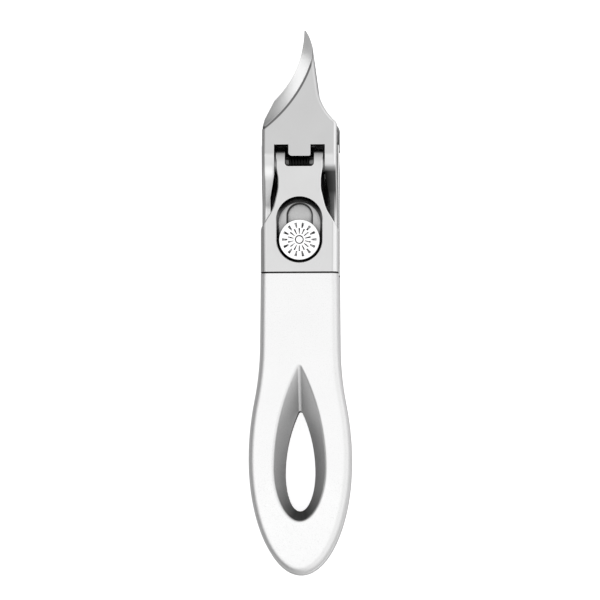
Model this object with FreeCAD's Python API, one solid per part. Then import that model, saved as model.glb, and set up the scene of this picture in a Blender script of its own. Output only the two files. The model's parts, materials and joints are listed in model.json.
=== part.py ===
"""Pliers-type nail clipper with a hooked jaw, a cross pivot pin and a sliding lock, closed and lying flat.

Two steel levers cross at the pivot pin. The upper jaw runs back through two outer cheeks into the lower
handle, and the lower jaw runs back between those cheeks into the upper handle, so squeezing the handles
closes the jaws.

Every shape is drawn about the pivot: x to the right, y forward to the jaws' tip, z up from the plane in
which the two cutting edges meet. save() then moves it to the row frame, whose origin is on the resting plane
under the middle of the tool. All sizes are millimetres.
"""

import FreeCAD
import Part
import math
import os

V = FreeCAD.Vector

# ---- driving dimensions --------------------------------------------------------------------------
TOTAL_LENGTH = 127.0
TIP_Y = 31.6                        # jaw tip, ahead of the pivot
BUTT_Y = TIP_Y - TOTAL_LENGTH       # end of the handles
SEAM_Y = -25.6                      # where the steel levers end and the cast handles begin
OUTER_Z = 7.0                       # half the closed thickness, to the levers' and handles' outer faces
INNER_Z = 2.0                       # half the gap between the closed handles
PIVOT_Z = 3.5                       # pivot axis above the cutting plane
EDGE_GAP = 0.01                     # each cutting edge's distance from the cutting plane when closed

HEAD_HALF = 8.6                     # half the width of the upper jaw and of the cheeks
LEVER_HALF = 9.0                    # half the width of the lower jaw, the lever plates and the handles' front
NECK_HALF = 9.15                    # half the width of the handles' neck
GRIP_HALF = 11.8                    # half the greatest width of the handles
GRIP_Y = -69.0                      # where the handles are widest

PLATE = 2.4                         # thickness of the jaw and lever plates
FLANGE = 1.5                        # thickness of the upper lever's side flanges
BULKHEAD = 1.6                      # wall that closes each lever's channel at the seam
EDGE_ROUND = 1.5                    # rounding along the levers' and handles' outer edges
HEAD_ROUND = 0.8                    # rounding along the head's and the cheeks' upper edges

# head plate: top face falls towards the tip
HEAD_REAR_Y, HEAD_REAR_Z = 1.4, 6.9
HEAD_TIP_Z = 3.0
HEAD_SLOPE = (HEAD_REAR_Z - HEAD_TIP_Z) / (TIP_Y - HEAD_REAR_Y)
HEAD_JOIN_Y = 5.0                   # where the cheeks run into the upper jaw

# ground bevel: part of a slanting cone whose section at the cutting plane is the cutting edge's arc
GRIND_RADIUS = 23.45                # radius of the cutting edge's arc
EDGE_CENTRE = (-22.6, 31.85)        # its centre
GRIND_SPREAD = 2.05                 # gain in radius per millimetre of height
GRIND_SHIFT = (-1.09, 0.92)         # sideways movement of the centre per millimetre of height
EDGE_LAND = 0.35                    # width of the flat land along the cutting edge
EDGE_WALL = 2.2                     # wall behind the bevel
EDGE_WALL_FROM = 1.2                # height at which the wall reaches that thickness

# hinge
KNUCKLE_RADIUS = OUTER_Z - PIVOT_Z
PRONG_OUT, PRONG_IN = 5.45, 3.4      # half widths over and between the prongs
CHEEK_IN_FRONT, CHEEK_IN_REAR = 5.9, 6.9
NOTCH_HALF = 5.55                   # notch in the lower lever that the prongs swing through
NOTCH_REAR_Y = -5.2
FLOOR_FRONT_Y = -2.6                # where the lower lever's flat underside ends
CHEEK_FLARE_Y = (-2.9, -8.0)        # the cheeks' inner faces widen between these
CHEEK_ROUND = 4.7                   # radius of the cheeks' lower front, about the pivot
SLOT_FRONT_Y = 4.1                  # front of the two slots in the head plate
TONGUE_HALF = 2.55
TONGUE_Y = 1.4
BRIDGE_Y = -1.05                    # front edge of the lever plate between its prongs
COIL_ROOM = 2.5                    # radius kept free round the pivot for the spring

PIN_RADIUS = 1.25
PIN_HEAD_RADIUS, PIN_HEAD_DEPTH = 2.1, 0.8
RUNNING = 0.05                      # radial clearance of a part that turns or slides
SEAT = 0.02                         # clearance of a part that is fixed
WASHER_RADIUS, WASHER_THICK = 2.6, 0.35
SLEEVE_RADIUS = 1.5

WIRE = 0.6                          # spring wire diameter
COIL_RADIUS = 1.86                  # to the middle of the wire
COIL_TURNS = 6
COIL_PITCH = 0.68
UPPER_LEG = (8.5, math.radians(10.0))     # length and rise of each spring leg
LOWER_LEG = (11.3, math.radians(-42.0))

# upper lever in plan: corners x, y from the prongs' fronts back, and the radius that rounds each
LEVER_CORNERS = (
    (PRONG_OUT, -1.2, 4.0),
    (5.0, -3.8, 6.0),
    (5.0, -6.2, 6.0),
    (6.1, -10.9, 8.0),
    (LEVER_HALF, -15.5, 2.0),
)

# cheeks in side view: corners y, z of their upper edge from the head back, and the radius that rounds each
CHEEK_BENDS = (
    (1.6, HEAD_REAR_Z - HEAD_SLOPE * (1.6 - HEAD_REAR_Y), 2.5),
    (-3.2, 5.7, 9.0),
    (-10.6, 1.95, 5.0),
    (-16.5, 1.3, 4.0),
    (SEAM_Y + BULKHEAD, -INNER_Z, 2.0),
)

# lock
LOCK_Y = -18.2                      # button's centre, locked
LOCK_TRAVEL = 4.7
RECESS_RADIUS = 5.43
RECESS_FRONT_Y = LOCK_Y + LOCK_TRAVEL     # centre of the recess's front end
TRAY_TOP_Z = OUTER_Z - 0.3
TRAY_FLOOR_Z = 5.2
TRAY_RIM_RADIUS, TRAY_FLOOR_RADIUS = 5.3, 4.9
TRAY_FLOOR_INSET = (0.75, 0.3)      # how far the floor's front and rear centres lie inside the rim's
TRAY_SLOT_RADIUS = 2.87
TRAY_SLOT_FRONT_Y = -12.4
BUTTON_RADIUS = 4.75
BUTTON_TOP_Z = OUTER_Z + 0.3
BUTTON_EDGE_Z = 6.5                 # bottom of the button's straight side
BUTTON_UNDER_Z = 5.5
BUTTON_UNDER_RADIUS = 3.4
HUB_RADIUS = 2.7
CAP_RADIUS, CAP_THICK = 4.25, 0.5
RAYS = 14
RAY_DEPTH = 0.18
RAY_RINGS = ((2.75, 4.0, 0.66, 0.0), (1.35, 2.7, 0.40, 0.5))    # inner and outer radius, width, turn in steps
STEM_RADIUS = 1.6
SLIDE_HALF, SLIDE_THICK = 3.2, 0.8
SLIDE_FRONT, SLIDE_REAR = 9.0, 4.2  # the slide plate's reach ahead of and behind the button
SLIDE_TOP_Z = OUTER_Z - PLATE - 0.3
HOOK_HALF = 2.0
HOOK_THICK = 2.4
TOE_Z = (-3.4, -2.4)
TOE_REACH = 1.3
CATCH_THICK = 0.8
CATCH_LIP_Y = -21.25
CATCH_LIP_Z = -2.2
CATCH_HALF = 5.6
CATCH_RIVET = (4.3, -18.5)          # x and y of the catch plate's rivets
RIVET_RADIUS = 1.0

# handles
TANG_HALF = 6.0
TANG_Z = (3.9, 5.9)
TANG_END_Y = -41.0
TANG_ROOM = 0.05
SEAM_GAP = 0.25
BUTT_BEND_Y, BUTT_Z = -72.0, 4.9    # the outer face falls from here to this height at the butt
SCREW_YS = (-30.5, -37.5)
SCREW_RADIUS, SCREW_HEAD_RADIUS, SCREW_HEAD_DEPTH = 1.25, 2.4, 1.2
SCREW_SOCKET = 1.0                  # across the hexagon's corners, halved
HOLE_TIP_ROUND = 0.45
HOLE_OUTSIDE = dict(tip_y=-46.2, wide_y=-71.2, half=6.2, end_y=-83.9)
HOLE_INSIDE = dict(tip_y=-57.4, wide_y=-72.0, half=3.4, end_y=-80.75)

ROW_SHIFT = V(0, TOTAL_LENGTH / 2 - TIP_Y, OUTER_Z)


# ---- drawing helpers -----------------------------------------------------------------------------
def wire(place, start, *steps):
    """Closed wire from start. A step is an end point, or a (middle, end) pair for an arc.

    place turns the two coordinates of a point into three.
    """
    edges, here = [], start
    for step in steps:
        if isinstance(step[0], tuple):
            middle, end = step
            edges.append(Part.Arc(place(*here), place(*middle), place(*end)).toShape())
        else:
            end = step
            edges.append(Part.makeLine(place(*here), place(*end)))
        here = end
    if here != start:
        edges.append(Part.makeLine(place(*here), place(*start)))
    return Part.Wire(edges)


def plan(z0, z1, start, *steps):
    """Outline in (x, y), raised from z0 to z1."""
    return Part.Face(wire(lambda x, y: V(x, y, z0), start, *steps)).extrude(V(0, 0, z1 - z0))


def side(x0, x1, start, *steps):
    """Outline in (y, z), drawn out from x0 to x1."""
    return Part.Face(wire(lambda y, z: V(x0, y, z), start, *steps)).extrude(V(x1 - x0, 0, 0))


def box(x, y, z):
    """Box between the pairs x, y and z."""
    return Part.makeBox(x[1] - x[0], y[1] - y[0], z[1] - z[0], V(x[0], y[0], z[0]))


def both(make, inner, outer):
    """The same piece on the right, between inner and outer, and on the left."""
    return make(inner, outer).fuse(make(-outer, -inner))


def upright(radius, x, y, z0, z1):
    return Part.makeCylinder(radius, z1 - z0, V(x, y, z0))


def cone(r0, r1, x, y, z0, z1):
    return Part.makeCone(r0, r1, z1 - z0, V(x, y, z0))


def across(radius, x0, x1):
    """Cylinder about the pivot axis."""
    return Part.makeCylinder(radius, x1 - x0, V(x0, 0, PIVOT_Z), V(1, 0, 0))


def stadium_wire(radius, front_y, rear_y, z):
    return wire(
        lambda x, y: V(x, y, z),
        (radius, front_y),
        ((0, front_y + radius), (-radius, front_y)),
        (-radius, rear_y),
        ((0, rear_y - radius), (radius, rear_y)),
    )


def stadium(radius, front_y, rear_y, z0, z1):
    return Part.Face(stadium_wire(radius, front_y, rear_y, z0)).extrude(V(0, 0, z1 - z0))


def polar(radius, degrees, y=0.0, z=PIVOT_Z):
    """Point in (y, z) at that angle from forward, about the pivot."""
    angle = math.radians(degrees)
    return (y + radius * math.cos(angle), z + radius * math.sin(angle))


def flipped(shape):
    """Mirror image in the cutting plane."""
    return shape.mirror(V(0, 0, 0), V(0, 0, 1))


def rounded(shape, radius, wanted):
    """Fillets the edges that wanted(edge) picks. Keeps the sharp shape if the kernel can't round them."""
    edges = [e for e in shape.Edges if wanted(e)]
    if not edges:
        return shape
    try:
        result = shape.makeFillet(radius, edges)
    except Part.OCCError:
        print("left sharp:", len(edges), "edges at", radius)
        return shape
    if result.isValid() and len(result.Solids) == len(shape.Solids):
        return result
    print("left sharp:", len(edges), "edges at", radius)
    return shape


def rounded_bar(half, top, radius):
    """Long bar along y, half the given width, whose two top edges are rounded."""
    bar = box((-half, half), (-120.0, 60.0), (top - 20.0, top))
    return bar.makeFillet(radius, [e for e in bar.Edges if flat_at(e, top) and e.BoundBox.YLength > 100])


def flat_at(edge, z, slack=1e-3):
    """True if the whole edge lies at height z."""
    return abs(edge.BoundBox.ZMin - z) < slack and abs(edge.BoundBox.ZMax - z) < slack


def save(name, shape):
    """Writes one node, moved to the row frame."""
    shape = shape.removeSplitter() if shape.Solids else shape
    solids = shape.Solids
    for solid in solids:
        if not solid.isValid():
            print("NOT VALID:", name)
    placed = solids[0] if len(solids) == 1 else Part.makeCompound(solids)
    placed = placed.copy()
    placed.translate(ROW_SHIFT)
    placed.exportStep(os.path.join("parts", name + ".step"))
    print(name, len(solids), "solid(s)", round(placed.Volume, 1), "mm3")


# ---- jaws ----------------------------------------------------------------------------------------
def head_z(y):
    """Height of the head plate's outer face."""
    return HEAD_REAR_Z - HEAD_SLOPE * (y - HEAD_REAR_Y)


def grind_circle(behind, z):
    """Section of the bevel's cone at height z, widened by the distance behind the bevel."""
    centre = V(EDGE_CENTRE[0] + GRIND_SHIFT[0] * z, EDGE_CENTRE[1] + GRIND_SHIFT[1] * z, z)
    return Part.Wire(Part.makeCircle(GRIND_RADIUS + GRIND_SPREAD * z + behind, centre))


def grind(z0, z1, behind0=0.0, behind1=0.0):
    """Slanting cone whose side is the ground bevel, or lies behind it by the two distances."""
    return Part.makeLoft([grind_circle(behind0, z0), grind_circle(behind1, z1)], True, True)


def head_outline(z0, z1, half, rear_y):
    """Outline of the hooked head; the bevel later trims its left side to the cutting edge."""
    corner = half - 8.0
    return plan(
        z0, z1,
        (-half, rear_y),
        (-half, 8.3),
        (-8.2, 10.4),
        (-5.0, 17.8),
        (-3.0, TIP_Y),
        (1.15, TIP_Y),
        ((2.05, 30.0), (2.78, 27.6)),
        ((3.4, 22.9), (4.25, 16.6)),
        ((5.38, 13.45), (8.0, 9.9)),
        ((8.0 + 0.7 * corner, 9.9 - 0.65 * corner), (half, 9.9 - 1.6 * corner)),
        (half, rear_y),
    )


def under_head_plane(drop):
    """Everything below the head's sloping outer face, lowered by drop."""
    low = -20.0
    return side(
        -20.0, 20.0,
        (-30.0, low),
        (40.0, low),
        (40.0, head_z(40.0) - drop),
        (-30.0, head_z(-30.0) - drop),
    )


def jaw(half, rear_y, cavity_rear_y):
    """Upper jaw from rear_y to the tip: a sloping plate whose left side curls down to the cutting edge."""
    solid = head_outline(EDGE_GAP, 9.0, half, rear_y).common(under_head_plane(0.0))
    for s, inside in ((1, 3.0), (-1, 5.9)):
        def outer_rim(e):
            spot = e.BoundBox
            beside = min(s * spot.XMin, s * spot.XMax) > inside
            return beside and spot.ZMin > 3.0 and spot.YLength > 1.0

        solid = rounded(solid, HEAD_ROUND, outer_rim)
    solid = solid.cut(grind(-1.0, 10.0))
    room = plan(
        -1.0, 9.0,
        (-6.2, cavity_rear_y),
        (CHEEK_IN_FRONT, cavity_rear_y),
        (CHEEK_IN_FRONT, 7.6),
        (12.0, 7.6),
        (12.0, 33.0),
        (-6.2, 33.0),
    ).common(under_head_plane(PLATE))
    thin_wall = grind(0.0, EDGE_WALL_FROM, EDGE_LAND, EDGE_WALL)
    full_wall = grind(EDGE_WALL_FROM, 10.0, EDGE_WALL, EDGE_WALL)
    return solid.cut(room.cut(thin_wall).cut(full_wall))


# ---- upper jaw and lower lever -------------------------------------------------------------------
def bent_edge(shape, y, z):
    """The sideways edge of shape that passes through y, z."""
    spot = V(0, y, z)
    return [
        e for e in shape.Edges
        if e.BoundBox.XLength > 1 and e.BoundBox.Center.distanceToPoint(spot) < 0.01
    ]


def cheek_block():
    """Solid the width of the head: over the pin, then down to the lower lever, with rounded upper edges."""
    block = side(
        -HEAD_HALF, HEAD_HALF,
        (HEAD_JOIN_Y, head_z(HEAD_JOIN_Y)),
        *[(y, z) for y, z, _ in CHEEK_BENDS],
        (SEAM_Y, -INNER_Z),
        (SEAM_Y, -OUTER_Z),
        (FLOOR_FRONT_Y, -OUTER_Z),
        polar(CHEEK_ROUND, -82.0),
        (polar(CHEEK_ROUND, -40.0), polar(CHEEK_ROUND, 0.0)),
        (HEAD_JOIN_Y, head_z(HEAD_JOIN_Y) - PLATE),
    )
    for y, z, radius in CHEEK_BENDS:
        block = block.makeFillet(radius, bent_edge(block, y, z))

    def upper(e):
        spot = e.BoundBox
        if spot.XLength > 0.01 or spot.YLength < 0.1 or spot.ZMin < -INNER_Z - 0.01:
            return False
        return not (spot.YMin > 0 and spot.ZMax < 4.5)

    return rounded(block, HEAD_ROUND, upper)


def lever_shoulder():
    """Lower lever and the shoulder that rises from it round the pivot, a little wider than the cheeks."""
    block = side(
        -LEVER_HALF, LEVER_HALF,
        (SEAM_Y, -INNER_Z),
        (-9.0, -INNER_Z),
        (-5.0, 0.0),
        polar(CHEEK_ROUND, -15.0),
        (polar(CHEEK_ROUND, -50.0), polar(CHEEK_ROUND, -82.0)),
        (FLOOR_FRONT_Y, -OUTER_Z),
        (SEAM_Y, -OUTER_Z),
    )
    return rounded(
        block, 0.3,
        lambda e: e.BoundBox.XLength < 0.01 and e.BoundBox.ZMin > -INNER_Z - 0.01 and e.BoundBox.YLength > 1,
    )


def cheek_plan(z0, z1):
    """Plan of the space between the cheeks and under the lever, as far as the seam's bulkhead."""
    return plan(
        z0, z1,
        (-CHEEK_IN_FRONT, SLOT_FRONT_Y),
        (-CHEEK_IN_FRONT, CHEEK_FLARE_Y[0]),
        (-CHEEK_IN_REAR, CHEEK_FLARE_Y[1]),
        (-CHEEK_IN_REAR, SEAM_Y + BULKHEAD),
        (CHEEK_IN_REAR, SEAM_Y + BULKHEAD),
        (CHEEK_IN_REAR, CHEEK_FLARE_Y[1]),
        (CHEEK_IN_FRONT, CHEEK_FLARE_Y[0]),
        (CHEEK_IN_FRONT, SLOT_FRONT_Y),
    )


def tang(z0, z1):
    return box((-TANG_HALF, TANG_HALF), (TANG_END_Y, SEAM_Y + 1.0), (z0, z1))


def upper_jaw():
    """Upper jaw, cheeks, lower lever and its tang: one forging."""
    body = cheek_block().fuse(lever_shoulder())
    body = body.common(flipped(rounded_bar(LEVER_HALF, OUTER_Z, EDGE_ROUND)))
    channel = cheek_plan(-OUTER_Z + PLATE, 12.0)
    notch = box((-NOTCH_HALF, NOTCH_HALF), (NOTCH_REAR_Y, SLOT_FRONT_Y), (-OUTER_Z - 1, 0))
    under_head = box((-CHEEK_IN_FRONT, CHEEK_IN_FRONT), (SLOT_FRONT_Y - 1, 7.5), (-2, 9))
    under_head = under_head.common(under_head_plane(PLATE))
    body = body.cut(channel).cut(notch).cut(under_head)
    head = jaw(HEAD_HALF, HEAD_JOIN_Y, SLOT_FRONT_Y)
    window = cheek_plan(-1.0, 12.0)
    tongue = plan(
        3.0, 9.0,
        (-TONGUE_HALF, SLOT_FRONT_Y + 0.5),
        (-TONGUE_HALF, TONGUE_Y + 0.8),
        ((-TONGUE_HALF + 0.25, TONGUE_Y + 0.22), (-TONGUE_HALF + 0.8, TONGUE_Y)),
        (TONGUE_HALF - 0.4, TONGUE_Y),
        ((TONGUE_HALF - 0.1, TONGUE_Y + 0.12), (TONGUE_HALF, TONGUE_Y + 0.4)),
        (TONGUE_HALF, SLOT_FRONT_Y + 0.5),
    ).common(under_head_plane(0.0)).cut(under_head_plane(PLATE))
    body = body.fuse(head.cut(window)).fuse(tongue.cut(across(COIL_ROOM, -4, 4))).removeSplitter()
    body = body.fuse(flipped(tang(*TANG_Z)))
    for s in (-1, 1):
        inner, outer = sorted((s * 5.0, s * 10.0))
        body = body.cut(across(PIN_RADIUS + SEAT, inner, outer))
        inner, outer = sorted((s * (HEAD_HALF - PIN_HEAD_DEPTH), s * 10.0))
        body = body.cut(across(PIN_HEAD_RADIUS + SEAT, inner, outer))
        body = body.cut(upright(RIVET_RADIUS + SEAT, s * CATCH_RIVET[0], CATCH_RIVET[1], -8, -3))
    for y in SCREW_YS:
        body = body.cut(upright(SCREW_RADIUS + SEAT, 0, y, -7, -3))
    return body


# ---- lower jaw and upper lever -------------------------------------------------------------------
def lever_outline(z0, z1, inset=0.0):
    """Upper lever in plan: two prongs, a narrow waist, then shoulders out to full width."""
    front, rear = KNUCKLE_RADIUS + 0.2, SEAM_Y + inset
    corners = [(x - inset, y - 0.35 * inset) for x, y, _ in LEVER_CORNERS]
    left = [(-x, y) for x, y in corners]
    start = (-corners[0][0], front)
    blank = plan(
        z0, z1,
        start,
        (corners[0][0], front),
        *corners,
        (corners[-1][0], rear),
        (-corners[-1][0], rear),
        *reversed(left),
    )
    for (x, y), (_, _, radius) in zip(corners, LEVER_CORNERS):
        at_corner = [
            e for e in blank.Edges
            if e.BoundBox.ZLength > 0.5
            and abs(abs(e.BoundBox.XMin) - x) < 0.01
            and abs(e.BoundBox.YMin - y) < 0.01
        ]
        blank = blank.makeFillet(radius, at_corner)
    return blank


def prong(x0, x1):
    """One prong in side view: round the pin, then down and forward to the lower jaw."""
    return side(
        x0, x1,
        (-9.0, 5.0),
        (-1.0, 5.0),
        polar(KNUCKLE_RADIUS, 60.0),
        (polar(KNUCKLE_RADIUS, 30.0), polar(KNUCKLE_RADIUS, 0.0)),
        ((4.1, 1.6), (5.6, -0.2)),
        (9.5, -head_z(9.5) + PLATE - 0.2),
        (9.5, -head_z(9.5) + 0.6),
        (1.2, -head_z(1.2) + 0.05),
        (-1.0, -5.3),
        (-4.4, -3.0),
        (-7.5, 0.5),
        (-9.0, INNER_Z),
    )


def lower_jaw():
    """Lower jaw, prongs, upper lever and its tang: one forging."""
    lever = lever_outline(INNER_Z, OUTER_Z).common(rounded_bar(LEVER_HALF, OUTER_Z, EDGE_ROUND))

    def waist_rim(e):
        spot = e.BoundBox
        on_top = spot.ZMin > OUTER_Z - EDGE_ROUND - 0.1
        return on_top and spot.YMin > -16.6 and spot.YMax < 3.9 and spot.YLength > 0.1

    lever = rounded(lever, 0.3, waist_rim)
    knuckle_room = box((-9, 9), (0, 9), (-9, 9)).cut(across(KNUCKLE_RADIUS, -9, 9))
    lever = lever.cut(knuckle_room)
    pocket = lever_outline(-9.0, OUTER_Z - PLATE, FLANGE).cut(
        box((-9, 9), (SEAM_Y, SEAM_Y + BULKHEAD), (-10, 10))
    ).cut(box((-9, 9), (-1.0, 9), (-10, 10)))
    lever = lever.cut(pocket)
    between = plan(
        -9.0, 9.0,
        (-PRONG_IN, 9.0),
        (-PRONG_IN, BRIDGE_Y + 1.0),
        ((-PRONG_IN + 0.25, BRIDGE_Y + 0.25), (-PRONG_IN + 1.0, BRIDGE_Y)),
        (PRONG_IN - 1.0, BRIDGE_Y),
        ((PRONG_IN - 0.25, BRIDGE_Y + 0.25), (PRONG_IN, BRIDGE_Y + 1.0)),
        (PRONG_IN, 9.0),
    )
    lever = lever.cut(between).cut(across(COIL_ROOM, -PRONG_IN, PRONG_IN))
    prongs = both(prong, PRONG_IN, PRONG_OUT)
    full_width = box((-PRONG_OUT, PRONG_OUT), (-1.0, 12.0), (-10, 10))
    full_width = full_width.fuse(box((-PRONG_OUT, PRONG_OUT), (-9.0, 12.0), (-10, INNER_Z - 0.5)))
    prongs = prongs.common(lever_outline(-10.0, 10.0).fuse(full_width))
    head = flipped(jaw(LEVER_HALF, 3.6, 3.6))
    web = box((-PRONG_OUT, PRONG_OUT), (1.3, 4.0), (-9.0, -3.0)).common(flipped(under_head_plane(0.0)))
    web = web.cut(flipped(under_head_plane(PLATE)))
    body = lever.fuse(prongs).fuse(head).fuse(web).fuse(tang(*TANG_Z))
    body = body.cut(across(PIN_RADIUS + RUNNING, -7, 7))
    body = body.cut(stadium(RECESS_RADIUS, RECESS_FRONT_Y, LOCK_Y, 3.0, 9.0))
    for y in SCREW_YS:
        body = body.cut(upright(SCREW_RADIUS + SEAT, 0, y, 3, 7))
    return body


# ---- handles -------------------------------------------------------------------------------------
def half_ellipse(half, wide_y, end_y, z):
    """Rounded rear end, from the left side round to the right."""
    ellipse = Part.Ellipse(V(0, end_y, z), V(half, wide_y, z), V(0, wide_y, z))
    return Part.ArcOfEllipse(ellipse, -math.pi / 2, math.pi / 2).toShape()


def teardrop(z, tip_y, wide_y, half, end_y):
    """Pointed teardrop: two large arcs from a rounded tip, and a half ellipse."""
    length = tip_y - wide_y
    radius = (length ** 2 + half ** 2) / (2 * half)
    tip_centre = wide_y + math.sqrt((radius - HOLE_TIP_ROUND) ** 2 - (radius - half) ** 2)
    reach = radius / (radius - HOLE_TIP_ROUND)
    touch = ((half - radius) * (1 - reach), wide_y + (tip_centre - wide_y) * reach)
    middle_y = (touch[1] + wide_y) / 2
    middle_x = half - radius + math.sqrt(radius ** 2 - (middle_y - wide_y) ** 2)
    right = Part.Arc(V(half, wide_y, z), V(middle_x, middle_y, z), V(touch[0], touch[1], z)).toShape()
    tip = Part.Arc(
        V(touch[0], touch[1], z), V(0, tip_centre + HOLE_TIP_ROUND, z), V(-touch[0], touch[1], z)
    ).toShape()
    left = Part.Arc(V(-touch[0], touch[1], z), V(-middle_x, middle_y, z), V(-half, wide_y, z)).toShape()
    return Part.Wire([half_ellipse(half, wide_y, end_y, z), right, tip, left])


def handle_plan(z0, z1):
    """Straight neck, an S-shaped flare made of two equal arcs, and a half-elliptical butt."""
    flare_from = GRIP_Y + 27.0
    flare_middle = (flare_from + GRIP_Y) / 2
    half_step = (GRIP_HALF - NECK_HALF) / 2
    run = flare_from - flare_middle
    radius = (run ** 2 + half_step ** 2) / (2 * half_step)
    quarter = run / 2
    bulge = radius - math.sqrt(radius ** 2 - quarter ** 2)

    def p(x, y):
        return V(x, y, z0)

    def flank(s):
        return [
            Part.makeLine(p(s * LEVER_HALF, SEAM_Y - SEAM_GAP), p(s * NECK_HALF, flare_from)),
            Part.Arc(
                p(s * NECK_HALF, flare_from),
                p(s * (NECK_HALF + bulge), flare_from - quarter),
                p(s * (NECK_HALF + half_step), flare_middle),
            ).toShape(),
            Part.Arc(
                p(s * (NECK_HALF + half_step), flare_middle),
                p(s * (GRIP_HALF - bulge), GRIP_Y + quarter),
                p(s * GRIP_HALF, GRIP_Y),
            ).toShape(),
        ]

    front = Part.makeLine(p(-LEVER_HALF, SEAM_Y - SEAM_GAP), p(LEVER_HALF, SEAM_Y - SEAM_GAP))
    edges = [front] + flank(1) + flank(-1) + [half_ellipse(GRIP_HALF, GRIP_Y, BUTT_Y, z0)]
    outline = Part.Wire(Part.__sortEdges__(edges))
    return Part.Face(outline).extrude(V(0, 0, z1 - z0))


def screw_ways(y):
    """Clearance hole and countersink for one handle screw, from the inner face."""
    hole = upright(SCREW_RADIUS + RUNNING, 0, y, INNER_Z - 1, TANG_Z[0] + 0.5)
    seat = cone(SCREW_HEAD_RADIUS + SEAT, SCREW_RADIUS + SEAT, 0, y, INNER_Z, INNER_Z + SCREW_HEAD_DEPTH)
    mouth = upright(SCREW_HEAD_RADIUS + SEAT, 0, y, INNER_Z - 0.5, INNER_Z)
    return hole.fuse(seat).fuse(mouth)


def upper_handle():
    """Cast handle with a flared teardrop hole and a pocket for the lever's tang.

    Its outer face is flat and falls at the butt.
    """
    profile = side(
        -20, 20,
        (SEAM_Y - SEAM_GAP, INNER_Z),
        (SEAM_Y - SEAM_GAP, OUTER_Z),
        (BUTT_BEND_Y, OUTER_Z),
        ((-84.5, OUTER_Z - 0.62), (BUTT_Y - 0.5, BUTT_Z)),
        (BUTT_Y - 0.5, INNER_Z),
    )
    body = handle_plan(INNER_Z - 1, OUTER_Z + 1).common(profile)

    def outer_rim(e):
        spot = e.BoundBox
        across_the_bend = spot.XLength > 15 and spot.YLength < 1e-3
        return spot.ZMin > BUTT_Z - 0.2 and spot.YMin < SEAM_Y - 1 and not across_the_bend

    def front_corner(e):
        spot = e.BoundBox
        return spot.YLength < 0.01 and spot.ZMax > 5 and spot.YMin > -30

    def hole_rim(e):
        spot = e.BoundBox
        beside = spot.XMin > -7 and spot.XMax < 7 and spot.YMax < -45.5
        return beside and flat_at(e, OUTER_Z, 0.9) and spot.ZMin > 5.9

    body = rounded(body, EDGE_ROUND + 0.1, outer_rim)
    body = rounded(body, 0.7, lambda e: flat_at(e, INNER_Z) and e.BoundBox.YLength > 1)
    body = rounded(body, 0.25, front_corner)
    flare = Part.makeLoft(
        [teardrop(OUTER_Z + 0.2, **HOLE_OUTSIDE), teardrop(INNER_Z - 0.2, **HOLE_INSIDE)], True, True
    )
    body = body.cut(flare)
    body = rounded(body, 0.7, hole_rim)
    pocket = box(
        (-TANG_HALF - TANG_ROOM, TANG_HALF + TANG_ROOM),
        (TANG_END_Y - TANG_ROOM, SEAM_Y),
        (TANG_Z[0] - TANG_ROOM, TANG_Z[1] + TANG_ROOM),
    )
    body = body.cut(pocket)
    for y in SCREW_YS:
        body = body.cut(screw_ways(y))
    return body


def handle_screw(y):
    """Countersunk screw from the handle's inner face into the tang, with a hexagon socket."""
    head = cone(SCREW_HEAD_RADIUS, SCREW_RADIUS, 0, y, INNER_Z, INNER_Z + SCREW_HEAD_DEPTH)
    shank = upright(SCREW_RADIUS, 0, y, INNER_Z, TANG_Z[1] - 0.1)
    corners = [
        (SCREW_SOCKET * math.cos(math.radians(60 * k)), y + SCREW_SOCKET * math.sin(math.radians(60 * k)))
        for k in range(6)
    ]
    socket = plan(INNER_Z - 0.5, INNER_Z + 0.9, corners[0], *corners[1:])
    return head.fuse(shank).cut(socket)


def handle_screws():
    return Part.makeCompound([handle_screw(y) for y in SCREW_YS])


# ---- pivot ---------------------------------------------------------------------------------------
def pivot_pin():
    """Riveted pin with a flush head in each cheek."""
    pin = across(PIN_RADIUS, -HEAD_HALF, HEAD_HALF)
    for s in (-1, 1):
        x0, x1 = sorted((s * (HEAD_HALF - PIN_HEAD_DEPTH), s * HEAD_HALF))
        pin = pin.fuse(across(PIN_HEAD_RADIUS, x0, x1))
    return rounded(pin, 0.25, lambda e: abs(e.BoundBox.XMin) > HEAD_HALF - 0.01 and e.BoundBox.XLength < 0.01)


def pivot_sleeve():
    """Spacer tube on the pin, inside the spring."""
    half = PRONG_IN - RUNNING
    return across(SLEEVE_RADIUS, -half, half).cut(across(PIN_RADIUS + SEAT, -9, 9))


def pivot_washers():
    """Thin washers between each prong and its cheek."""
    x0 = PRONG_OUT + (CHEEK_IN_FRONT - PRONG_OUT - WASHER_THICK) / 2

    def washer(a, b):
        return across(WASHER_RADIUS, a, b).cut(across(PIN_RADIUS + SEAT, -9, 9))

    return Part.makeCompound([washer(x0, x0 + WASHER_THICK), washer(-x0 - WASHER_THICK, -x0)])


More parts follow.
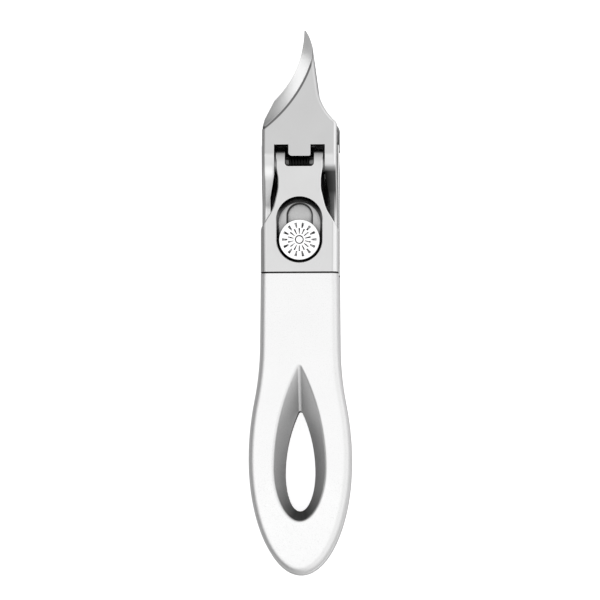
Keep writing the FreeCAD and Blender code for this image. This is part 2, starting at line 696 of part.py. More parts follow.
def torsion_spring():
    """Coil round the sleeve, with one leg forward to the upper jaw and one down to the lower jaw."""
    start = math.pi / 2 + LOWER_LEG[1]
    turns = COIL_TURNS + (3 * math.pi / 2 + UPPER_LEG[1] - start) / (2 * math.pi)
    half = turns * COIL_PITCH / 2
    lead = math.atan2(COIL_PITCH, 2 * math.pi * COIL_RADIUS)
    helix = Part.Wire(Part.makeHelix(COIL_PITCH, 2 * half, COIL_RADIUS).Edges)
    along = V(0, math.cos(lead), math.sin(lead))
    section = Part.Wire(Part.makeCircle(WIRE / 2, V(COIL_RADIUS, 0, 0), along))
    coil = helix.makePipeShell([section], True, True)
    coil.rotate(V(0, 0, 0), V(0, 1, 0), 90)
    coil.rotate(V(0, 0, 0), V(1, 0, 0), math.degrees(start) + 90)
    coil.translate(V(-half, 0, PIVOT_Z))
    legs = ((-half, LOWER_LEG, start), (half, UPPER_LEG, UPPER_LEG[1] - math.pi / 2))
    for x, (length, rise), angle in legs:
        root = V(x, COIL_RADIUS * math.cos(angle), PIVOT_Z + COIL_RADIUS * math.sin(angle))
        run = V(0, math.cos(rise), math.sin(rise))
        leg = Part.makeCylinder(WIRE / 2, length, root, run).fuse(Part.makeSphere(WIRE / 2, root))
        coil = coil.fuse(leg)
    return coil


# ---- lock ----------------------------------------------------------------------------------------
def lock_tray():
    """Dished oval tray pressed into the upper lever, with the slot that the button's hub slides in."""
    tray = stadium(RECESS_RADIUS - SEAT, RECESS_FRONT_Y, LOCK_Y, OUTER_Z - PLATE, TRAY_TOP_Z)
    floor_front, floor_rear = RECESS_FRONT_Y - TRAY_FLOOR_INSET[0], LOCK_Y + TRAY_FLOOR_INSET[1]
    floor = stadium_wire(TRAY_FLOOR_RADIUS, floor_front, floor_rear, TRAY_FLOOR_Z)
    rim = stadium_wire(TRAY_RIM_RADIUS, RECESS_FRONT_Y, LOCK_Y, TRAY_TOP_Z + 0.01)
    tray = tray.cut(Part.makeLoft([floor, rim], True, True))
    tray = rounded(tray, 0.4, lambda e: flat_at(e, TRAY_FLOOR_Z))
    return tray.cut(stadium(TRAY_SLOT_RADIUS, TRAY_SLOT_FRONT_Y, LOCK_Y, 3.0, 7.0))


def lock_button():
    """Round button: rim, conical underside and the hub that runs in the tray's slot."""
    body = upright(BUTTON_RADIUS, 0, LOCK_Y, BUTTON_EDGE_Z, BUTTON_TOP_Z)
    body = rounded(body, 0.2, lambda e: flat_at(e, BUTTON_TOP_Z))
    under = cone(BUTTON_UNDER_RADIUS, BUTTON_RADIUS - 0.05, 0, LOCK_Y, BUTTON_UNDER_Z, BUTTON_EDGE_Z)
    body = body.fuse(under)
    body = body.fuse(upright(HUB_RADIUS, 0, LOCK_Y, SLIDE_TOP_Z, BUTTON_UNDER_Z))
    body = body.cut(upright(CAP_RADIUS + SEAT, 0, LOCK_Y, BUTTON_TOP_Z - CAP_THICK, 9.0))
    return body.cut(upright(STEM_RADIUS + SEAT, 0, LOCK_Y, 2.0, BUTTON_TOP_Z - CAP_THICK))


def lock_button_cap():
    """Disc pressed into the button: a grooved centre and two rings of radial cuts, like a sunburst."""
    top = BUTTON_TOP_Z
    cap = upright(CAP_RADIUS, 0, LOCK_Y, top - CAP_THICK, top)
    groove = upright(1.05, 0, LOCK_Y, top - 0.12, top + 1).cut(upright(0.75, 0, LOCK_Y, top - 1, top + 1))
    cap = cap.cut(groove)
    for inner, outer, width, turn in RAY_RINGS:
        for k in range(RAYS):
            cut = plan(
                top - RAY_DEPTH, top + 1,
                (inner, -width / 4),
                (outer, -width / 2),
                (outer, width / 2),
                (inner, width / 4),
            )
            cut.rotate(V(0, 0, 0), V(0, 0, 1), 360.0 * (k + turn) / RAYS)
            cut.translate(V(0, LOCK_Y, 0))
            cap = cap.cut(cut)
    return cap


def lock_wave_washer():
    """Spring washer between the button and the tray's floor, which holds the button where it is left."""
    z0 = TRAY_FLOOR_Z + 0.03
    ring = upright(BUTTON_UNDER_RADIUS, 0, LOCK_Y, z0, BUTTON_UNDER_Z - 0.03)
    return ring.cut(upright(HUB_RADIUS + RUNNING, 0, LOCK_Y, 0, 9))


def lock_slide_plate():
    """Plate under the tray that moves with the button and closes its slot."""
    plate = stadium(
        SLIDE_HALF, LOCK_Y + SLIDE_FRONT - SLIDE_HALF, LOCK_Y - SLIDE_REAR + SLIDE_HALF,
        SLIDE_TOP_Z - SLIDE_THICK, SLIDE_TOP_Z,
    )
    return plate.cut(upright(STEM_RADIUS + SEAT, 0, LOCK_Y, 0, 9))


def lock_hook():
    """Stem riveted in the button, and the flat hook whose toe goes under the catch plate's lip."""
    slide_under = SLIDE_TOP_Z - SLIDE_THICK
    stem = upright(STEM_RADIUS, 0, LOCK_Y, slide_under, BUTTON_TOP_Z - CAP_THICK - 0.1)
    y0, y1 = LOCK_Y - HOOK_THICK / 2, LOCK_Y + HOOK_THICK / 2
    blade = side(
        -HOOK_HALF, HOOK_HALF,
        (y1, slide_under),
        (y1, TOE_Z[0] + 0.8),
        ((y1 - 0.25, TOE_Z[0] + 0.25), (y1 - 0.8, TOE_Z[0])),
        (y0 - TOE_REACH + 0.4, TOE_Z[0]),
        (y0 - TOE_REACH, TOE_Z[0] + 0.4),
        (y0 - TOE_REACH, TOE_Z[1]),
        (y0, TOE_Z[1]),
        (y0, slide_under),
    )
    return stem.fuse(blade)


def catch_plate():
    """Bracket on the lower lever's floor; its lip stands behind the hook's toe."""
    floor = -OUTER_Z + PLATE
    rear, front = SEAM_Y + BULKHEAD + 0.1, -13.6
    lip_top = CATCH_LIP_Z + CATCH_THICK
    bracket = side(
        -3.2, 3.2,
        (front + 2.0, floor),
        (front + 2.0, floor + CATCH_THICK),
        (rear + CATCH_THICK, floor + CATCH_THICK),
        (rear + CATCH_THICK, CATCH_LIP_Z),
        (CATCH_LIP_Y, CATCH_LIP_Z),
        (CATCH_LIP_Y, lip_top),
        (rear + 0.6, lip_top),
        ((rear + 0.18, lip_top - 0.18), (rear, lip_top - 0.6)),
        (rear, floor),
    )
    base = box((-CATCH_HALF, CATCH_HALF), (-21.5, -15.5), (floor, floor + CATCH_THICK))
    base = rounded(base, 1.2, lambda e: e.BoundBox.ZLength > 0.5)
    plate = bracket.fuse(base)
    for s in (-1, 1):
        plate = plate.cut(upright(RIVET_RADIUS + SEAT, s * CATCH_RIVET[0], CATCH_RIVET[1], -9, 0))
    return plate


def catch_rivets():
    """Two rivets through the lower lever's floor, flush outside."""
    floor = -OUTER_Z + PLATE
    rivets = []
    for s in (-1, 1):
        x, y = s * CATCH_RIVET[0], CATCH_RIVET[1]
        shank = upright(RIVET_RADIUS, x, y, -OUTER_Z + 0.02, floor + CATCH_THICK)
        head = upright(RIVET_RADIUS + 0.5, x, y, floor + CATCH_THICK, floor + CATCH_THICK + 0.35)
        head = rounded(head, 0.2, lambda e: flat_at(e, floor + CATCH_THICK + 0.35))
        rivets.append(shank.fuse(head))
    return Part.makeCompound(rivets)


def main():
    os.makedirs("parts", exist_ok=True)
    save("upper_jaw", upper_jaw())
    save("lower_jaw", lower_jaw())
    handle, screws = upper_handle(), handle_screws()
    save("upper_handle", handle)
    save("lower_handle", flipped(handle))
    save("upper_handle_screws", screws)
    save("lower_handle_screws", flipped(screws))
    save("pivot_pin", pivot_pin())
    save("pivot_sleeve", pivot_sleeve())
    save("pivot_washers", pivot_washers())
    save("torsion_spring", torsion_spring())
    save("lock_tray", lock_tray())
    save("lock_button", lock_button())
    save("lock_button_cap", lock_button_cap())
    save("lock_wave_washer", lock_wave_washer())
    save("lock_slide_plate", lock_slide_plate())
    save("lock_hook", lock_hook())
    save("catch_plate", catch_plate())
    save("catch_rivets", catch_rivets())


main()
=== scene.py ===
"""Looks for the pliers-type nail clipper: materials, the opening spring, floor, light and camera.

Lengths are metres in the row frame. Places and texture sizes inside materials are millimetres, because
that is the scale of brushing, blasting and grinding.
"""

import json
import math

import bpy
from mathutils import Matrix, Vector

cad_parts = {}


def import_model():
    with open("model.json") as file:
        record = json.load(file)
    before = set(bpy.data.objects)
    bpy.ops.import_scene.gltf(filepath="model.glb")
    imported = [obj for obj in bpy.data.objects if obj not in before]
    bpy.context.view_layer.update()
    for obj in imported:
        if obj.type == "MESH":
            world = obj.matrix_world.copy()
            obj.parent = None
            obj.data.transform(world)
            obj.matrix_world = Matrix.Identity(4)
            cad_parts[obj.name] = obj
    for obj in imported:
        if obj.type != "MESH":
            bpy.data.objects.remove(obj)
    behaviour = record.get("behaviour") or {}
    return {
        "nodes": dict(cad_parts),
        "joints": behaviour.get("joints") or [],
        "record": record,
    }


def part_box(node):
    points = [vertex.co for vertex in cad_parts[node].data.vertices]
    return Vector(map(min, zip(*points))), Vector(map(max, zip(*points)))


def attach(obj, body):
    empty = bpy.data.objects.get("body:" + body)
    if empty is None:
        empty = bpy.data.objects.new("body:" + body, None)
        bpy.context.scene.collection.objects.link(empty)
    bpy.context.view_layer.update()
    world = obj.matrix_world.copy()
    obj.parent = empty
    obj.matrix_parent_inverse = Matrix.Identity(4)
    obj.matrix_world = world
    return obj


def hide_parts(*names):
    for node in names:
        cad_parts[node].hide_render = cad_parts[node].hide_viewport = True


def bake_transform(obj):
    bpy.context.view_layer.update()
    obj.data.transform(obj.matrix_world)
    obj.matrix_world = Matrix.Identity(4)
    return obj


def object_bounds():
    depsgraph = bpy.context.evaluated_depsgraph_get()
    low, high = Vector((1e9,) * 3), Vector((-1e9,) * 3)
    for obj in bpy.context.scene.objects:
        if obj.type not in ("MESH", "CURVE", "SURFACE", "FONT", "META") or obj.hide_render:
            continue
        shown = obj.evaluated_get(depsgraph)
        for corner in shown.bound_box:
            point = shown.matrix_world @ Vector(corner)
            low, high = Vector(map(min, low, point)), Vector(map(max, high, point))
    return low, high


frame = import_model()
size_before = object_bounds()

MM = 0.001
nodes = frame["nodes"]
hinge = next(j for j in frame["joints"] if j["name"] == "lever_hinge")
PIVOT = Vector(hinge["pos_m"])
LOW, HIGH = (Vector(corner) for corner in size_before)
CLOSED_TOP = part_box("lower_jaw")[1].z       # top of the closed levers
CUTTING_Z = CLOSED_TOP / MM / 2             # the two cutting edges meet halfway up

# ---- places on the tool --------------------------------------------------------------------------
# Millimetres about the hinge axis: x to the right, y towards the tip, z up.
JAW_START_Y = (7.0, 8.0)                    # the marks of grinding fade in between these
HEEL_Y = (9.5, 17.0)                        # the bevel brightens from its heel between these
RIGHT_HIGHLIGHT_Y = (14.0, 8.0)                      # the painted highlight strip on right-facing edges strengthens, going back
# The left cheek's slope gets a painted highlight and the right cheek's slope painted shade.
LEFT_CHEEK_X, LEFT_CHEEK_Y = (-8.4, -6.4), (-16.0, 0.3)
RIGHT_CHEEK_X, RIGHT_CHEEK_END_Y = (5.4, 8.3), (-13.5, -6.5)
RIGHT_CHEEK_TONE_X = (6.2, 8.4)             # the right cheek's painted shade lightens outwards between these
CHEEK_START_Y = (0.3, -2.2)                 # both cheeks' painted shade and painted highlight fade in between these, going back
CHEEK_FALL = 0.5                            # fall of the cheeks' slope per millimetre going back
CHEEK_BAND_Z = (2.8, 3.1)                   # foot of the slope's band of painted shade and highlight, carried forward to the axis
CHEEK_TOP_Z = (2.9, 2.7)                    # the slope starts below the head's flat top
POCKET_X, POCKET_Y, POCKET_Z = (-6.1, 6.1), (-9.0, 4.6), (-8.3, -1.0)      # hollow between the cheeks, painted in shade
UNDER_HINGE_X, UNDER_HINGE_Y = (-6.0, 6.0), (-6.5, 5.5)                    # floor below that hollow, where its glow is left out as painted shade
FLOOR_TONE_X = (-20.0, 20.0)                # the floor is painted paler from left to right between these, to brighten the reflections in right-facing edges
SLOT_FRONT_Y = -12.4                        # centre of the front end of the lock button's slot
SLOT_EDGE = (2.80, 3.02)                    # painted shade along the edge of that slot, from the slot's middle line

# The jaws' ground bevel is part of a slanting cone on each jaw. At the cutting plane it is an arc.
EDGE_CENTRE = (-22.6, 31.85)
EDGE_RADIUS = 23.45
CENTRE_SHIFT = (-1.09, 0.92)                # movement of the centre per millimetre of height
RADIUS_GAIN = 2.05                          # gain in radius per millimetre of height

# Marks with soft edges, in millimetres: each pair runs from none of the mark to all of it.
BEVEL_END = (0.05, 0.02)                    # behind the cone
GRIND_LINE_START, GRIND_LINE_END = (0.04, 0.10), (0.62, 0.46)              # behind the cone
FRONT_WALL = (1.40, 0.42)                   # painted shade on the tray's front wall, in from the lock tray's rim
CAP_CUT, CAP_BOTTOM = (0.03, 0.12), (0.35, 0.30)                           # below the cap's face

# ---- finishes ------------------------------------------------------------------------------------
# Roughness of each finish, from its smoothest to its roughest spots.
POLISHED = (0.10, 0.15)
CHROME = (0.10, 0.20)
SATIN = (0.27, 0.38)
STAMPED = (0.30, 0.42)
BLASTED = (0.36, 0.48)
MOST_NOISE = (0.3, 0.7)                     # nearly all values of a noise texture lie in this


# ---- shader helper -------------------------------------------------------------------------------
class Graph:
    """Adds and links the nodes of one material."""

    def __init__(self, name):
        self.material = bpy.data.materials.new(name)
        self.material.use_nodes = True
        self.tree = self.material.node_tree
        self.surface = self.tree.nodes["Principled BSDF"]

    def feed(self, socket, value):
        if isinstance(value, bpy.types.NodeSocket):
            self.tree.links.new(value, socket)
        else:
            socket.default_value = value

    def node(self, kind, inputs=None, **settings):
        made = self.tree.nodes.new("ShaderNode" + kind)
        for key, value in settings.items():
            setattr(made, key, value)
        for key, value in (inputs or {}).items():
            self.feed(made.inputs[key], value)
        return made

    def millimetres(self, x=1.0, y=1.0, z=1.0):
        """Object coordinates in millimetres, stretched per axis."""
        place = self.node("TexCoord").outputs["Object"]
        scale = (x / MM, y / MM, z / MM)
        return self.node("Mapping", {"Vector": place, "Scale": scale}).outputs["Vector"]

    def noise(self, vector, scale, detail=2.0):
        made = self.node("TexNoise", {"Vector": vector, "Scale": scale, "Detail": detail})
        return made.outputs["Fac"]

    def remap(self, value, low, high, to_low=0.0, to_high=1.0):
        made = self.node(
            "MapRange",
            {"Value": value, "From Min": low, "From Max": high, "To Min": to_low, "To Max": to_high},
        )
        return made.outputs["Result"]

    def maths(self, operation, a, b=0.0):
        made = self.node("Math", {0: a, 1: b}, operation=operation)
        return made.outputs["Value"]

    def minus(self, a, b):
        return self.maths("SUBTRACT", a, b)

    def product(self, first, *others):
        for other in others:
            first = self.maths("MULTIPLY", first, other)
        return first

    def split(self, vector):
        made = self.node("SeparateXYZ", {"Vector": vector})
        return made.outputs["X"], made.outputs["Y"], made.outputs["Z"]

    def joined(self, x=0.0, y=0.0, z=0.0):
        return self.node("CombineXYZ", {"X": x, "Y": y, "Z": z}).outputs["Vector"]

    def grey_of(self, tone):
        return self.joined(tone, tone, tone)

    def facing(self):
        """How far the surface faces right, towards the tip and up, each from -1 to 1."""
        return self.split(self.node("NewGeometry").outputs["Normal"])

    def blend_colour(self, share, a, b):
        made = self.node("Mix", data_type="RGBA")
        self.feed(made.inputs["Factor"], share)
        self.feed(made.inputs[6], a)
        self.feed(made.inputs[7], b)
        return made.outputs[2]

    def blend_value(self, share, a, b):
        made = self.node("Mix", data_type="FLOAT")
        self.feed(made.inputs["Factor"], share)
        self.feed(made.inputs[2], a)
        self.feed(made.inputs[3], b)
        return made.outputs[0]

    def bump(self, height, depth_mm, strength):
        inputs = {"Height": height, "Distance": depth_mm * MM, "Strength": strength}
        return self.node("Bump", inputs).outputs["Normal"]

    def worn_edges(self, radius_mm):
        """0 on faces and 1 along edges, found by comparing the true normal with a rounded one."""
        rounded = self.node("Bevel", {"Radius": radius_mm * MM}, samples=6).outputs["Normal"]
        true = self.node("NewGeometry").outputs["Normal"]
        alike = self.node("VectorMath", {0: rounded, 1: true}, operation="DOT_PRODUCT").outputs["Value"]
        return self.remap(alike, 0.995, 0.90)

    def hollows(self, reach_mm, low, high):
        """1 on open faces, falling to 0 in gaps and hollows narrower than about the reach. The materials put
        painted shade where it falls.

        Faces that look down count as open, because the floor they rest on isn't part of the tool.
        """
        seen = self.node("AmbientOcclusion", {"Distance": reach_mm * MM}, samples=8).outputs["AO"]
        _, _, upright = self.facing()
        return self.maths("MAXIMUM", self.remap(seen, low, high), self.remap(upright, -0.3, -0.9))

    def from_middle_line(self, x, y, rear, front):
        """Distance in plan from the middle line of a round-ended slot, which runs from rear to front."""
        nearest = self.node("Clamp", {"Value": y, "Min": rear, "Max": front}).outputs["Result"]
        ends = {0: self.joined(x, y), 1: self.joined(0.0, nearest)}
        return self.node("VectorMath", ends, operation="DISTANCE").outputs["Value"]

    def from_pivot(self, mm):
        """Millimetres right of, towards the tip from, and above the hinge axis."""
        x, y, z = self.split(mm)
        return x, self.minus(y, PIVOT.y / MM), self.minus(z, PIVOT.z / MM)

    def within(self, value, low, high, soft=0.2):
        """1 between the two limits, fading to 0 just outside them."""
        return self.product(self.remap(value, low - soft, low), self.remap(value, high + soft, high))

    def metal(self, colour, roughness, normal):
        self.feed(self.surface.inputs["Base Color"], colour)
        self.feed(self.surface.inputs["Metallic"], 1.0)
        self.feed(self.surface.inputs["Roughness"], roughness)
        self.feed(self.surface.inputs["Normal"], normal)
        return self.material


def grey(value):
    return (value, value, value, 1.0)


# ---- materials -----------------------------------------------------------------------------------
def behind_bevel(g, mm):
    """Distance in millimetres behind the jaws' ground bevel, which is a slanting cone."""
    x, along, _ = g.from_pivot(mm)
    _, _, z = g.split(mm)
    height = g.maths("ABSOLUTE", g.minus(z, CUTTING_Z))
    from_centre = [
        g.minus(g.minus(place, centre), g.product(height, shift))
        for place, centre, shift in zip((x, along), EDGE_CENTRE, CENTRE_SHIFT)
    ]
    squares = [g.maths("POWER", distance, 2.0) for distance in from_centre]
    reach = g.maths("SQRT", g.maths("ADD", *squares))
    return g.minus(reach, g.maths("ADD", EDGE_RADIUS, g.product(height, RADIUS_GAIN)))


def painted_cheek_shade_and_highlight(g, mm, colour):
    """Painted light round the hinge: painted shade in the hollow between the cheeks and on the right cheek,
    and a painted highlight on the left cheek.
    """
    x, along, up = g.from_pivot(mm)
    over_fall = g.minus(up, g.product(along, CHEEK_FALL))
    on_slope = g.product(g.remap(over_fall, *CHEEK_BAND_Z), g.remap(up, *CHEEK_TOP_Z))
    start = g.remap(along, *CHEEK_START_Y)

    # Painted shade on the right cheek's slope, lightening outwards.
    right = g.product(g.within(x, *RIGHT_CHEEK_X), on_slope, start, g.remap(along, *RIGHT_CHEEK_END_Y))
    inner_tone, outer_tone = 0.010, 0.085
    dark = g.remap(x, *RIGHT_CHEEK_TONE_X, inner_tone, outer_tone)
    colour = g.blend_colour(right, colour, g.grey_of(dark))

    # Painted highlight on the left cheek's slope.
    left = g.product(g.within(x, *LEFT_CHEEK_X, soft=0.4), on_slope, start, g.within(along, *LEFT_CHEEK_Y))
    colour = g.blend_colour(g.product(left, 0.7), colour, grey(0.92))

    # Painted shade in the hollow between the cheeks.
    pocket_shade = g.product(g.within(x, *POCKET_X), g.within(along, *POCKET_Y), g.within(up, *POCKET_Z))
    return g.blend_colour(pocket_shade, colour, grey(0.008))


def lever_steel():
    """Satin brushed steel with a polished, ground bevel along the cutting edge."""
    g = Graph("lever_steel")
    mm = g.millimetres()
    _, along, _ = g.from_pivot(mm)
    cloud = g.noise(mm, scale=0.15)
    streaks = g.noise(g.millimetres(9.0, 0.45, 9.0), scale=1.0, detail=3.0)
    fine = g.noise(mm, scale=14.0)
    grain = g.maths("ADD", g.product(streaks, 0.7), g.product(fine, 0.3))

    behind = behind_bevel(g, mm)
    on_jaw = g.remap(along, *JAW_START_Y)
    bevel = g.product(g.remap(behind, *BEVEL_END), on_jaw)
    grind_line = g.product(g.remap(behind, *GRIND_LINE_END), g.remap(behind, *GRIND_LINE_START), on_jaw)
    heel_tone, bevel_tone = 0.52, 0.92
    shine = g.remap(along, *HEEL_Y, heel_tone, bevel_tone)
    facing_right, _, _ = g.facing()
    # Painted highlight on faces turned to the right, stronger going back.
    right_edge_highlight = g.product(g.within(facing_right, 0.25, 0.85, soft=0.12), g.remap(along, *RIGHT_HIGHLIGHT_Y, 0.2, 0.8))

    colour = g.blend_colour(cloud, grey(0.63), grey(0.68))
    colour = g.blend_colour(g.product(g.worn_edges(0.25), 0.5), colour, grey(0.85))
    colour = g.blend_colour(bevel, colour, g.grey_of(shine))
    colour = g.blend_colour(g.product(grind_line, 0.9), colour, grey(0.12))
    # Painted shade: near black in gaps and hollows.
    colour = g.blend_colour(g.hollows(7.0, 0.45, 0.90), grey(0.015), colour)
    colour = g.blend_colour(right_edge_highlight, colour, grey(1.0))
    colour = painted_cheek_shade_and_highlight(g, mm, colour)

    rough = g.remap(grain, *MOST_NOISE, *SATIN)
    rough = g.blend_value(bevel, rough, g.remap(grain, *MOST_NOISE, *POLISHED))
    grind_marks = g.noise(g.millimetres(1.2, 0.2, 9.0), scale=1.0, detail=3.0)
    height = g.blend_value(bevel, grain, grind_marks)
    return g.metal(colour, rough, g.bump(height, 0.004, 0.7))


def handle_casting():
    """Pearl-bright plated casting with a fine bead-blasted grain, with painted shade in its hollows and on
    walls that face the tip.
    """
    g = Graph("handle_casting")
    mm = g.millimetres()
    cloud = g.noise(mm, scale=0.08)
    blast = g.noise(mm, scale=5.5, detail=3.0)
    pits = g.node("TexVoronoi", {"Vector": mm, "Scale": 7.0}).outputs["Distance"]
    _, to_tip, _ = g.facing()
    colour = g.blend_colour(cloud, grey(0.88), grey(0.93))
    colour = g.blend_colour(g.remap(blast, 0.55, 0.72, 0.0, 0.6), colour, grey(0.66))
    colour = g.blend_colour(g.product(g.worn_edges(0.4), 0.4), colour, grey(0.95))
    # Painted shade in gaps and hollows.
    colour = g.blend_colour(g.hollows(12.0, 0.22, 0.95), grey(0.16), colour)
    # Painted shade on walls that face the tip, as in the handle's hole.
    colour = g.blend_colour(g.remap(to_tip, 0.15, 0.75, 0.0, 0.85), colour, grey(0.05))
    rough = g.remap(blast, *MOST_NOISE, *BLASTED)
    height = g.maths("ADD", g.product(blast, 0.6), g.product(pits, 0.4))
    return g.metal(colour, rough, g.bump(height, 0.02, 0.5))


def turned_steel(name, tone, roughness):
    """Small turned or stamped steel part: fine noise in tone and gloss, and painted shade in its gaps and
    hollows.
    """
    g = Graph(name)
    mm = g.millimetres()
    cloud = g.noise(mm, scale=0.8)
    fine = g.noise(mm, scale=12.0, detail=3.0)
    colour = g.blend_colour(cloud, grey(tone * 0.85), grey(tone * 1.1))
    colour = g.blend_colour(g.product(g.worn_edges(0.12), 0.5), colour, grey(tone * 1.5))
    # Painted shade in gaps and hollows.
    colour = g.blend_colour(g.hollows(3.0, 0.15, 0.75), grey(0.02), colour)
    rough = g.remap(fine, *MOST_NOISE, *roughness)
    return g.metal(colour, rough, g.bump(fine, 0.006, 0.6))


def lock_steel():
    """Stamped steel of the lock, with painted shade: its steep walls, its front wall and the edge of its slot
    are painted near black, and the tray darkens towards its front wall.
    """
    g = Graph("lock_steel")
    mm = g.millimetres()
    speckle = g.noise(mm, scale=9.0, detail=3.0)
    x, y, _ = g.split(mm)
    _, _, upright = g.facing()
    low, high = (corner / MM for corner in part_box("lock_tray"))
    half = (high.x - low.x) / 2
    rear, front = low.y + half, high.y - half

    # Painted shade along the slot's edge, on the tray's front wall and on all steep walls.
    from_slot = g.from_middle_line(x, y, rear, PIVOT.y / MM + SLOT_FRONT_Y)
    slot_edge_shade = g.product(g.within(from_slot, *SLOT_EDGE, soft=0.15), 0.9)
    reach = g.from_middle_line(x, y, rear, front)
    at_front = g.remap(y, front - 1.0, high.y - 2.5)
    front_wall_shade = g.product(g.remap(g.minus(half, reach), *FRONT_WALL), at_front)
    walls = g.remap(g.maths("ABSOLUTE", upright), 0.5, 0.2)
    dark = g.maths("MAXIMUM", g.maths("MAXIMUM", front_wall_shade, walls), slot_edge_shade)

    # Painted shade: the tray darkens towards its front wall.
    front_tone, rear_tone = 0.42, 0.85
    base = g.remap(y, high.y - 1.5, low.y + 4.0, front_tone, rear_tone)
    base = g.product(base, g.remap(speckle, *MOST_NOISE, 0.85, 1.1))
    # Painted shade in gaps and hollows.
    colour = g.blend_colour(g.hollows(3.0, 0.15, 0.75), grey(0.02), g.grey_of(base))
    colour = g.blend_colour(dark, colour, grey(0.006))
    rough = g.remap(speckle, *MOST_NOISE, *STAMPED)
    return g.metal(colour, rough, g.bump(speckle, 0.008, 0.7))


def button_chrome():
    """Bright chrome with painted shade in its cuts, patchy along them."""
    g = Graph("button_chrome")
    mm = g.millimetres()
    fine = g.noise(mm, scale=10.0, detail=3.0)
    _, _, z = g.split(mm)
    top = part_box("lock_button_cap")[1].z / MM
    depth = g.minus(top, z)
    in_cut = g.remap(depth, *CAP_CUT)
    in_cap = g.remap(depth, *CAP_BOTTOM)
    # Painted shade in the cuts, patchy by noise.
    patchy_groove_shade = g.remap(g.noise(mm, scale=1.6), 0.36, 0.54, 0.62, 0.98)
    colour = g.blend_colour(g.product(in_cut, in_cap, patchy_groove_shade), grey(0.95), grey(0.02))
    rough = g.remap(fine, *MOST_NOISE, *CHROME)
    return g.metal(colour, rough, g.bump(fine, 0.002, 0.4))


MATERIALS = {
    "lever_steel": lever_steel(),
    "handle_casting": handle_casting(),
    "hardware_steel": turned_steel("hardware_steel", 0.45, (0.22, 0.36)),
    # Blackened spring steel, darkened further as painted shade in the hinge's notch.
    "spring_steel": turned_steel("spring_steel", 0.015, (0.30, 0.45)),
    "lock_steel": lock_steel(),
    "button_chrome": button_chrome(),
}
for part in frame["record"]["subparts"]:
    mesh = nodes[part["node"]].data
    mesh.materials.clear()
    mesh.materials.append(MATERIALS[part["material_slot"]])


# ---- opening spring ------------------------------------------------------------------------------
WIRE = 0.6 * MM
COIL_RADIUS = 1.86 * MM                     # to the middle of the wire
COIL_TURNS, COIL_PITCH = 6, 0.68 * MM
UPPER_LEG = (8.5 * MM, math.radians(10.0))  # length and rise of each leg
LOWER_LEG = (11.3 * MM, math.radians(-42.0))
LEG_POINTS = (0.08, 0.3, 0.6, 1.0)          # shares of a leg's length
POINTS_PER_TURN = 24


def link(made):
    bpy.context.scene.collection.objects.link(made)
    return made


def tube(name, path, radius, sides=14):
    """Round tube along a list of points, with flat ends."""
    rings, normal = [], Vector((1, 0, 0))
    for index, point in enumerate(path):
        ahead = path[min(index + 1, len(path) - 1)]
        behind = path[max(index - 1, 0)]
        along = (ahead - behind).normalized()
        normal = (normal - along * normal.dot(along)).normalized()
        other = along.cross(normal)
        rings.append([
            point + radius * (math.cos(turn) * normal + math.sin(turn) * other)
            for turn in (2 * math.pi * k / sides for k in range(sides))
        ])
    points = [corner for ring in rings for corner in ring]
    faces = []
    for ring in range(len(rings) - 1):
        for k in range(sides):
            a, b = ring * sides + k, ring * sides + (k + 1) % sides
            faces.append((a, b, b + sides, a + sides))
    faces.append(tuple(reversed(range(sides))))
    faces.append(tuple(range(len(points) - sides, len(points))))
    mesh = bpy.data.meshes.new(name)
    mesh.from_pydata(points, [], faces)
    mesh.update()
    mesh.shade_smooth()
    return link(bpy.data.objects.new(name, mesh))


def spring_path():
    """Points of the lower leg, coil and upper leg, about the pivot, and half the coil's width."""
    start = math.pi / 2 + LOWER_LEG[1]
    sweep = 2 * math.pi * COIL_TURNS + (3 * math.pi / 2 + UPPER_LEG[1] - start)
    half = COIL_PITCH * sweep / (2 * math.pi) / 2

    def coil(share):
        angle = start + sweep * share
        x = -half + 2 * half * share
        return PIVOT + Vector((x, COIL_RADIUS * math.cos(angle), COIL_RADIUS * math.sin(angle)))

    def leg(root, length, rise):
        along = Vector((0, math.cos(rise), math.sin(rise)))
        return [root + along * length * share for share in LEG_POINTS]

    steps = POINTS_PER_TURN * COIL_TURNS
    path = leg(coil(0), *LOWER_LEG)[::-1]
    path += [coil(k / steps) for k in range(steps + 1)]
    path += leg(coil(1), *UPPER_LEG)
    return path, half


path, coil_half = spring_path()
spring = tube("opening_spring", path, WIRE / 2)
spring.data.materials.append(MATERIALS["spring_steel"])
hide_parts("torsion_spring")
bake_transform(spring)


# ---- floor, light and camera ---------------------------------------------------------------------
REST_GAP = 0.02 * MM                        # keeps the floor clear of the flat undersides
TIP_RISE = 4 * MM                           # the lower jaw's underside rises by this towards its tip
CLEAR_RANGE = 4 * MM                        # the floor is clear to rays that start nearer than this


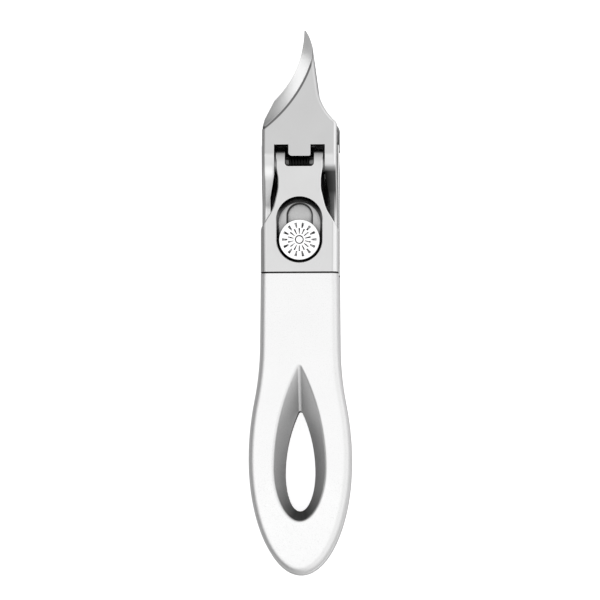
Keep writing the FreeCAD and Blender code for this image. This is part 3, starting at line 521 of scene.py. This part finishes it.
def floor_material():
    """Pale, painted paler on the right to brighten the reflections in the tool's right-facing edges, and
    glowing to the camera except under the hinge, where the glow is left out as painted shade.

    It is clear from below, and to rays that start just above it.
    """
    g = Graph("floor")
    mm = g.millimetres()
    x, along, _ = g.from_pivot(mm)
    # Painted light: paler on the right, so the tool's right-facing edges reflect more light.
    left_tone, right_tone = 0.50, 0.74
    tone = g.remap(x, *FLOOR_TONE_X, left_tone, right_tone)
    g.feed(g.surface.inputs["Base Color"], g.grey_of(tone))
    g.feed(g.surface.inputs["Roughness"], 0.9)

    # Painted shade: the glow is left out where the floor is shut in under the hinge.
    near_hinge = g.product(g.within(x, *UNDER_HINGE_X, soft=2.0), g.within(along, *UNDER_HINGE_Y, soft=2.0))
    shut_in = g.minus(1.0, g.hollows(9.0, 0.40, 0.70))
    unshaded_glow = g.minus(1.0, g.product(near_hinge, shut_in))
    ray = g.node("LightPath").outputs
    g.feed(g.surface.inputs["Emission Color"], grey(1.0))
    g.feed(g.surface.inputs["Emission Strength"], g.product(ray["Is Camera Ray"], unshaded_glow, 0.85))

    below = g.node("NewGeometry").outputs["Backfacing"]
    just_above = g.maths("LESS_THAN", ray["Ray Length"], CLEAR_RANGE)
    hidden = g.maths("MAXIMUM", below, just_above)
    clear = g.node("BsdfTransparent").outputs["BSDF"]
    both = g.node("MixShader", {0: hidden, 1: g.surface.outputs["BSDF"], 2: clear}).outputs["Shader"]
    g.tree.links.new(both, g.tree.nodes["Material Output"].inputs["Surface"])
    return g.material


def under_jaw():
    """Empty at the underside of the lower jaw's tip, which moves with the upper lever."""
    low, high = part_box("lower_jaw")
    mark = link(bpy.data.objects.new("under_jaw", None))
    mark.location = (0, high.y, low.z + TIP_RISE)
    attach(mark, "upper_lever")
    return mark


def floor():
    """Floor that the closed tool rests on. It drops when the opened jaw reaches under it."""
    reach = 3.0
    mesh = bpy.data.meshes.new("floor")
    corners = [(-reach, -reach, 0), (reach, -reach, 0), (reach, reach, 0), (-reach, reach, 0)]
    mesh.from_pydata(corners, [], [(0, 1, 2, 3)])
    mesh.materials.append(floor_material())
    made = link(bpy.data.objects.new("floor", mesh))
    follow = made.constraints.new("COPY_LOCATION")
    follow.target = under_jaw()
    follow.use_x = follow.use_y = False
    limit = made.constraints.new("LIMIT_LOCATION")
    limit.use_max_z = True
    limit.max_z = -REST_GAP


def world():
    """Bright overhead and dim towards the horizon, dimmest on the left, so edges read darker than faces."""
    made = bpy.data.worlds.new("studio")
    made.use_nodes = True
    tree = made.node_tree
    left, right, overhead = 0.22, 1.0, 0.92

    def remap(value, low, high, to_low, to_high):
        ramp = tree.nodes.new("ShaderNodeMapRange")
        ramp.interpolation_type = "SMOOTHSTEP"
        tree.links.new(value, ramp.inputs["Value"])
        for key, setting in (("From Min", low), ("From Max", high), ("To Max", to_high)):
            ramp.inputs[key].default_value = setting
        if isinstance(to_low, bpy.types.NodeSocket):
            tree.links.new(to_low, ramp.inputs["To Min"])
        else:
            ramp.inputs["To Min"].default_value = to_low
        return ramp.outputs["Result"]

    direction = tree.nodes.new("ShaderNodeTexCoord").outputs["Generated"]
    split = tree.nodes.new("ShaderNodeSeparateXYZ")
    tree.links.new(direction, split.inputs["Vector"])
    horizon = remap(split.outputs["X"], -0.5, 0.5, left, right)
    strength = remap(split.outputs["Z"], 0.35, 0.90, horizon, overhead)
    tree.links.new(strength, tree.nodes["Background"].inputs["Strength"])
    tree.nodes["Background"].inputs["Color"].default_value = grey(1.0)
    bpy.context.scene.world = made


def softbox(name, place, side, watts):
    """Square light that faces the middle of the tool."""
    data = bpy.data.lights.new(name, "AREA")
    data.shape = "RECTANGLE"
    data.size = data.size_y = side
    data.energy = watts
    made = link(bpy.data.objects.new(name, data))
    made.location = place
    made.rotation_euler = Vector(place).to_track_quat("Z", "Y").to_euler()
    made.visible_camera = False


def spot_on_floor(name, x, y, radius, watts):
    """Soft-edged pool of light on the floor beside the jaw, which shows in the polished bevel."""
    height = 0.3
    data = bpy.data.lights.new(name, "SPOT")
    data.spot_size = 2 * math.atan(radius / height)
    data.spot_blend = 1.0
    data.shadow_soft_size = 0.002
    data.energy = watts
    made = link(bpy.data.objects.new(name, data))
    made.location = (x, y, height)
    made.visible_camera = False


def camera():
    """Long lens looking almost straight down, leaning a little to the right and towards the handles."""
    lean_right, lean_back, distance = math.radians(2.4), math.radians(6.0), 1.8
    filled = 0.915                          # share of the picture's height that the tool takes up
    aim_right, aim_back = 0.15 * MM, 0.35 * MM
    span = (HIGH.y - LOW.y) / filled
    middle = (LOW.y + HIGH.y) / 2
    target = Vector((aim_right, middle - aim_back, CLOSED_TOP))
    back = Vector((math.tan(lean_right), -math.tan(lean_back), 1)).normalized()
    right = Vector((0, 1, 0)).cross(back).normalized()
    up = back.cross(right)
    data = bpy.data.cameras.new("camera")
    data.lens = data.sensor_width * distance / span
    data.clip_end = 20
    made = link(bpy.data.objects.new("camera", data))
    turn = Matrix((right, up, back)).transposed().to_4x4()
    made.matrix_world = Matrix.Translation(target + back * distance) @ turn
    bpy.context.scene.camera = made


floor()
world()
softbox("key", place=(-0.15, -0.10, 0.6), side=0.5, watts=0.29)
spot_on_floor("bevel_pool", x=-14.7 * MM, y=PIVOT.y + 31.2 * MM, radius=7.5 * MM, watts=4.0)
camera()
bpy.context.scene.view_settings.view_transform = "Standard"
